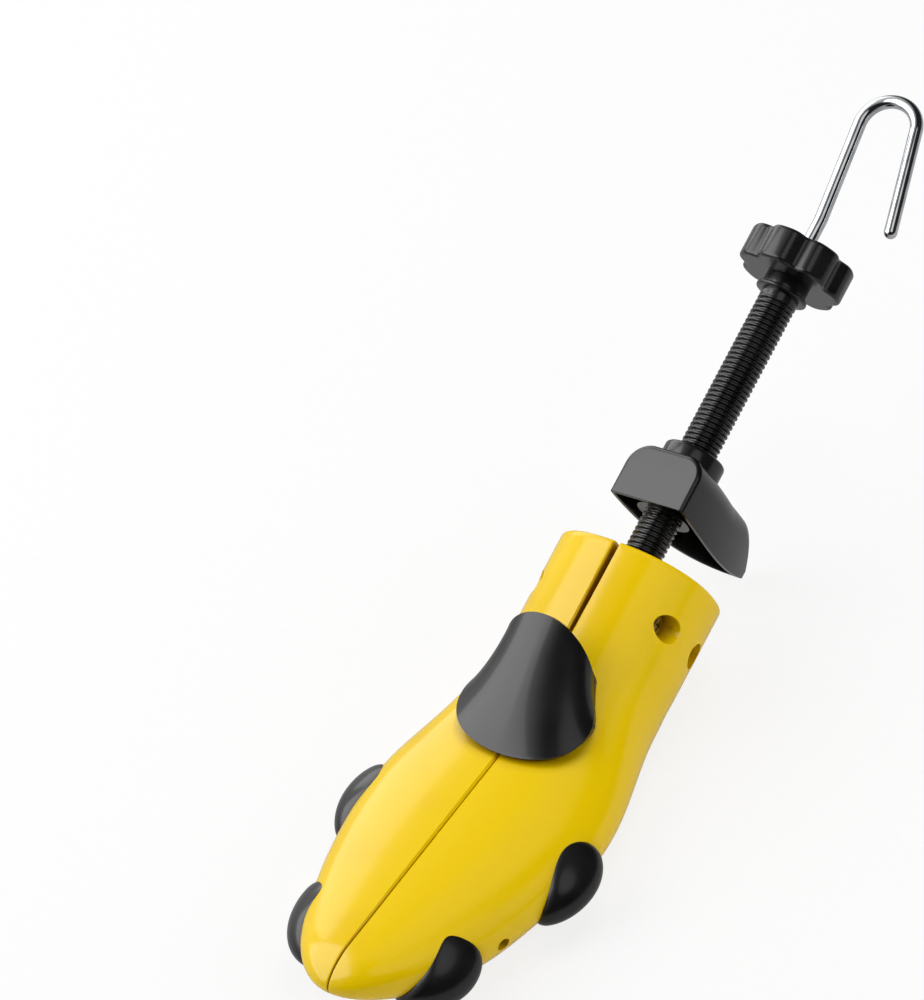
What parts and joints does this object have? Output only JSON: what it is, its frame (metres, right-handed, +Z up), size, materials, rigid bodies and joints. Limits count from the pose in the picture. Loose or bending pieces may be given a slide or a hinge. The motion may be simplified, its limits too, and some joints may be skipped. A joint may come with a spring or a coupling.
{
  "type": "shoe stretcher",
  "caption": "Two-way shoe stretcher: a hollow two-part last spread by a hook-ended screw rod, with a heel block run along a threaded tube by a lobed knob.",
  "frame": {"origin": "on the ground under the middle of the object's bounding box, with the stretcher standing on its sole", "axes": "+Y runs from the toe to the hook, +X to the right half seen from behind the hook with the sole down, +Z up"},
  "size_m": [0.1076, 0.3961, 0.1182],
  "materials": {
    "last_abs": "gloss",
    "pad_black": "gloss",
    "screw_black": "satin",
    "rod_chrome": "polished",
    "zinc_steel": "satin"
  },
  "bodies": {
    "frame": {"spine": "last_abs", "instep_pad": "pad_black", "pad_screw": "zinc_steel", "hinge_pins": "zinc_steel", "drive_nut": "zinc_steel"},
    "left_half": {"left_shell": "last_abs", "left_ear": "last_abs", "left_ear_screws": "zinc_steel", "left_ball_plug": "pad_black", "left_toe_plug": "pad_black"},
    "right_half": {"right_shell": "last_abs", "right_ear": "last_abs", "right_ear_screws": "zinc_steel", "right_ball_plug": "pad_black", "right_toe_plug": "pad_black"},
    "wedge": {"spreader_wedge": "last_abs", "rod_clip": "zinc_steel"},
    "hook": {"hook_rod": "rod_chrome"},
    "tube": {"screw_tube": "screw_black", "tube_clip": "zinc_steel", "knob": "screw_black"},
    "heel": {"heel_block": "screw_black"}
  },
  "joints": [
    {"name": "hook_turn", "type": "hinge", "parent": "wedge", "child": "hook", "pos_m": [0, -0.04208, 0.02682], "axis": [0, -0.9367, -0.3502], "range_deg": [0, 5040]},
    {"name": "wedge_slide", "type": "slide", "parent": "frame", "child": "wedge", "axis": [0, -0.9367, -0.3502], "range_m": [0, 0.0112]},
    {"name": "right_swing", "type": "hinge", "parent": "frame", "child": "right_half", "pos_m": [0.012, -0.00274, 0.04153], "axis": [0, -0.3502, 0.9367], "range_deg": [0, 5.5]},
    {"name": "left_swing", "type": "hinge", "parent": "frame", "child": "left_half", "pos_m": [-0.012, -0.00274, 0.04153], "axis": [0, 0.3502, -0.9367], "range_deg": [0, 5.5]},
    {"name": "knob_turn", "type": "hinge", "parent": "frame", "child": "tube", "pos_m": [0, -0.00274, 0.04153], "axis": [0, 0.9367, 0.3502], "range_deg": [-11880, 2880]},
    {"name": "heel_slide", "type": "slide", "parent": "frame", "child": "heel", "axis": [0, 0.9367, 0.3502], "range_m": [-0.016, 0.066]}
  ],
  "couplings": [
    {"joint": "wedge_slide", "follows": "hook_turn", "m_per_rad": 0.00012732},
    {"joint": "right_swing", "follows": "hook_turn", "ratio": 0.0010913},
    {"joint": "left_swing", "follows": "hook_turn", "ratio": 0.0010913},
    {"joint": "heel_slide", "follows": "knob_turn", "m_per_rad": -0.00031831}
  ]
}
